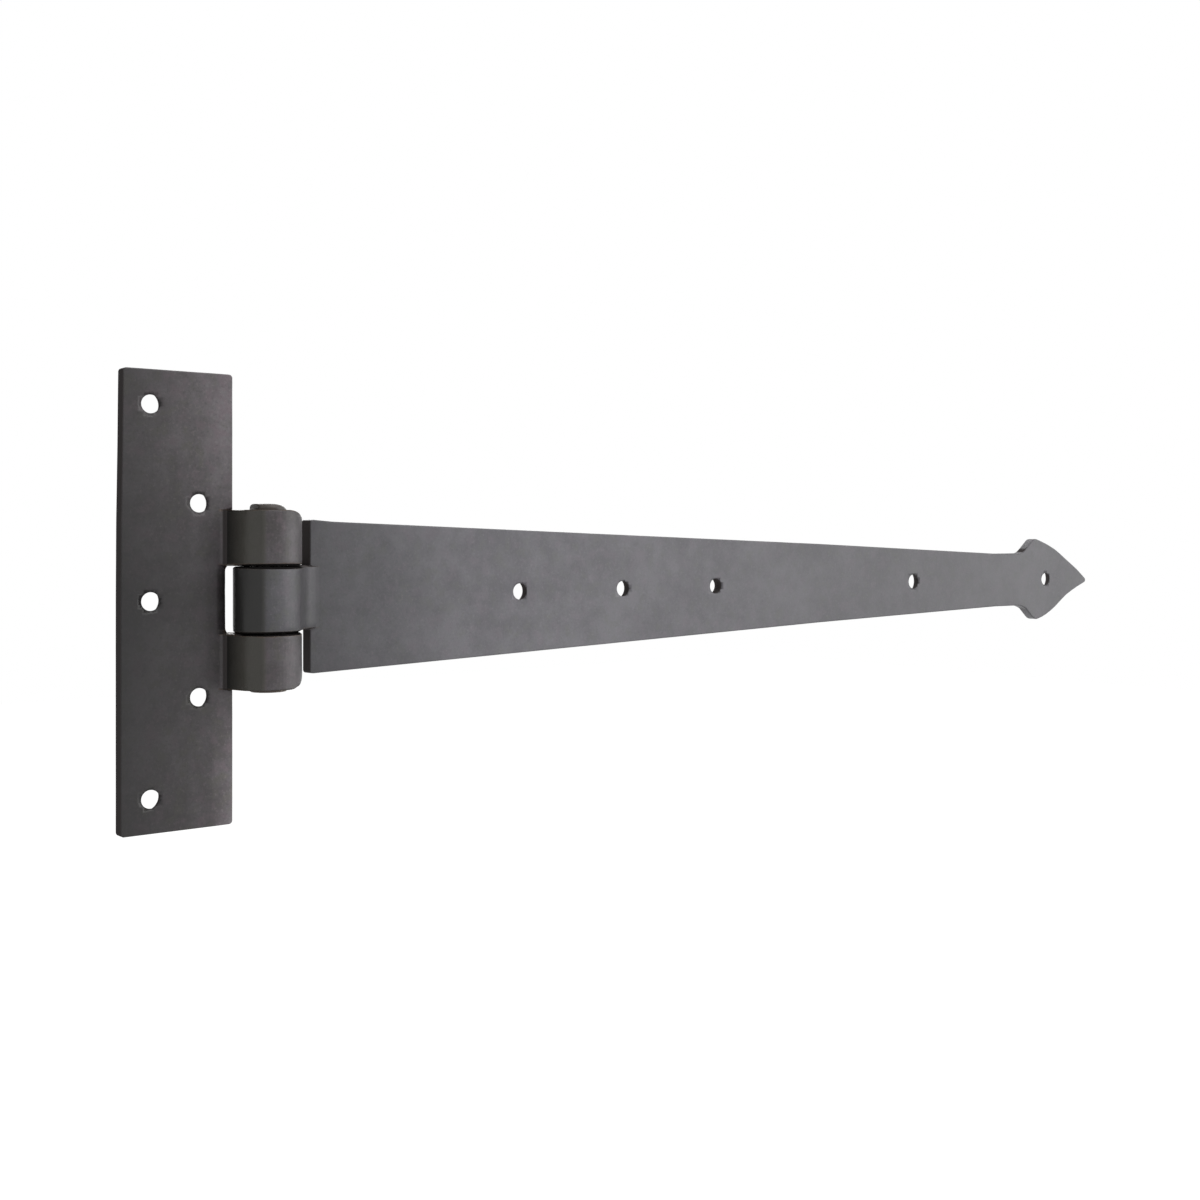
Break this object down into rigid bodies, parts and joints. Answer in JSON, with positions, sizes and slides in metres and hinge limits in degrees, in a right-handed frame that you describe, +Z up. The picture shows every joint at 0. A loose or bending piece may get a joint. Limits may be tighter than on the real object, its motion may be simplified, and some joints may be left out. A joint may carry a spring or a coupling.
{
  "type": "tee hinge",
  "caption": "Forged iron tee hinge: an upright cross plate and a long tapered strap with a spear end, rolled round one pin.",
  "frame": {"origin": "centre of the cross plate's back face, the face that lies on the post", "axes": "+X along the strap towards its spear, +Y into the wall or door that the hinge is fixed to, +Z up and parallel to the pin"},
  "size_m": [0.5241, 0.0224, 0.152],
  "materials": {
    "waxed_iron": "satin",
    "pin_iron": "satin"
  },
  "bodies": {
    "post_side": {"cross_plate": "waxed_iron", "hinge_pin": "pin_iron"},
    "door_side": {"strap": "waxed_iron"}
  },
  "joints": [
    {"name": "strap_swing", "type": "hinge", "parent": "post_side", "child": "door_side", "pos_m": [0.0288, -0.01123, 0], "axis": [0, 0, -1], "range_deg": [0, 180]}
  ]
}
